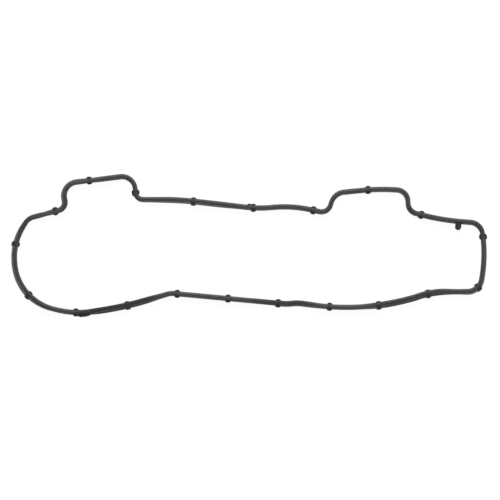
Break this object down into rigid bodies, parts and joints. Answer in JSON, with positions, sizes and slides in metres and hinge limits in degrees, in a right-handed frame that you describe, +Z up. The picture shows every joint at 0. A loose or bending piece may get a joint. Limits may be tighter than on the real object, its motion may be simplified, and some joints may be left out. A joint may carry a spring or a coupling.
{
  "type": "valve cover gasket",
  "caption": "Moulded rubber seal loop for an engine valve cover, humped along its back run and rounded at its left end, with retention nubs on both walls.",
  "frame": {"origin": "under the middle of the loop's bounding box, on the plane that its foot rests on", "axes": "+X along the loop's length towards its squarer end, +Y towards the humped back run, +Z up from the foot to the crown"},
  "size_m": [0.4512, 0.1362, 0.0081],
  "materials": {
    "rubber": "satin moulded elastomer"
  },
  "bodies": {
    "root": {"cover_gasket": "rubber"}
  },
  "joints": []
}
